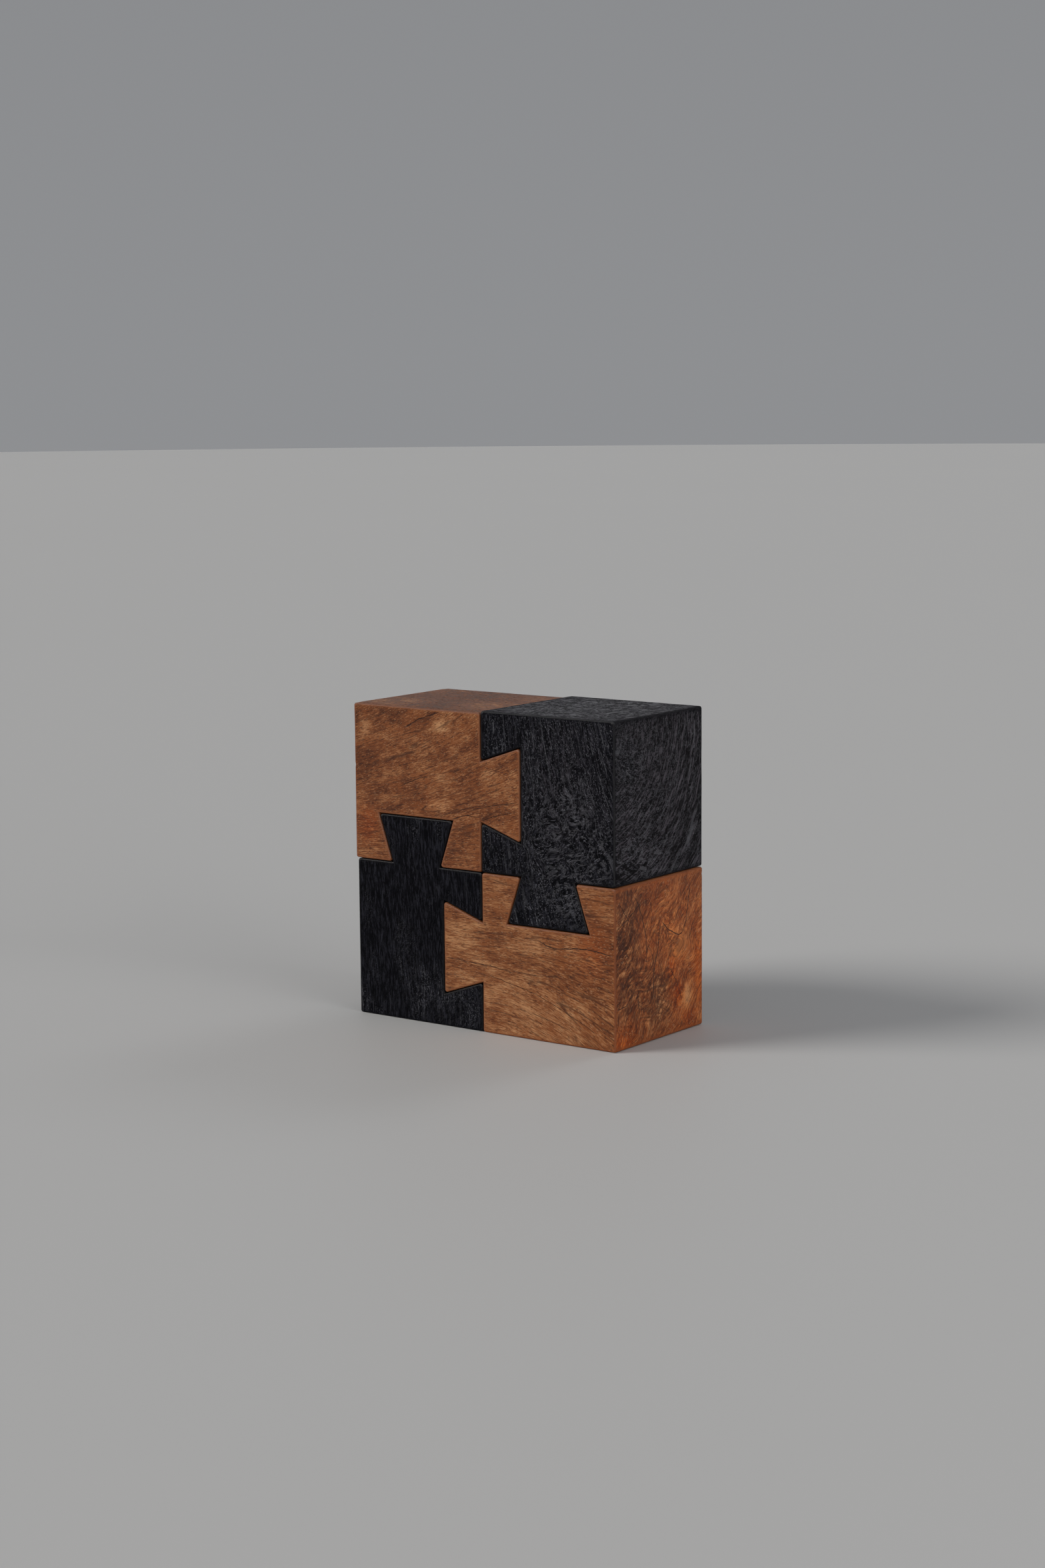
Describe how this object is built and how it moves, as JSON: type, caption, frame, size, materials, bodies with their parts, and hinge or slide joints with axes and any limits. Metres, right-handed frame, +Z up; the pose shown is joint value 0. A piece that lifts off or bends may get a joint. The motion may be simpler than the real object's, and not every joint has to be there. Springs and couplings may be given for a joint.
{
  "type": "dovetail block puzzle",
  "caption": "Upright square of solid wooden blocks, brown and black by turns, locked to each other by dovetails that slide apart front to back.",
  "frame": {"origin": "middle of the underside, on the surface that the puzzle stands on", "axes": "+Z up, +X to the right seen from the front, -Y towards the front face; the blocks slide along Y"},
  "size_m": [0.2, 0.095, 0.2],
  "materials": {
    "orange_brown_wood": "waxed satin, figured orange-brown hardwood with short dark pores",
    "black_wood": "waxed satin, blue-black ebonised hardwood with fine pale grain flecks"
  },
  "bodies": {
    "lower_left": {"lower_left_block": "black_wood"},
    "upper_left": {"upper_left_block": "orange_brown_wood"},
    "lower_right": {"lower_right_block": "orange_brown_wood"},
    "upper_right": {"upper_right_block": "black_wood"}
  },
  "joints": [
    {"name": "upper_left_slide", "type": "slide", "parent": "lower_left", "child": "upper_left", "axis": [0, 1, 0], "range_m": [-0.1, 0.1]},
    {"name": "lower_right_slide", "type": "slide", "parent": "lower_left", "child": "lower_right", "axis": [0, 1, 0], "range_m": [-0.1, 0.1]},
    {"name": "upper_right_slide", "type": "slide", "parent": "lower_right", "child": "upper_right", "axis": [0, 1, 0], "range_m": [-0.1, 0.1]}
  ]
}
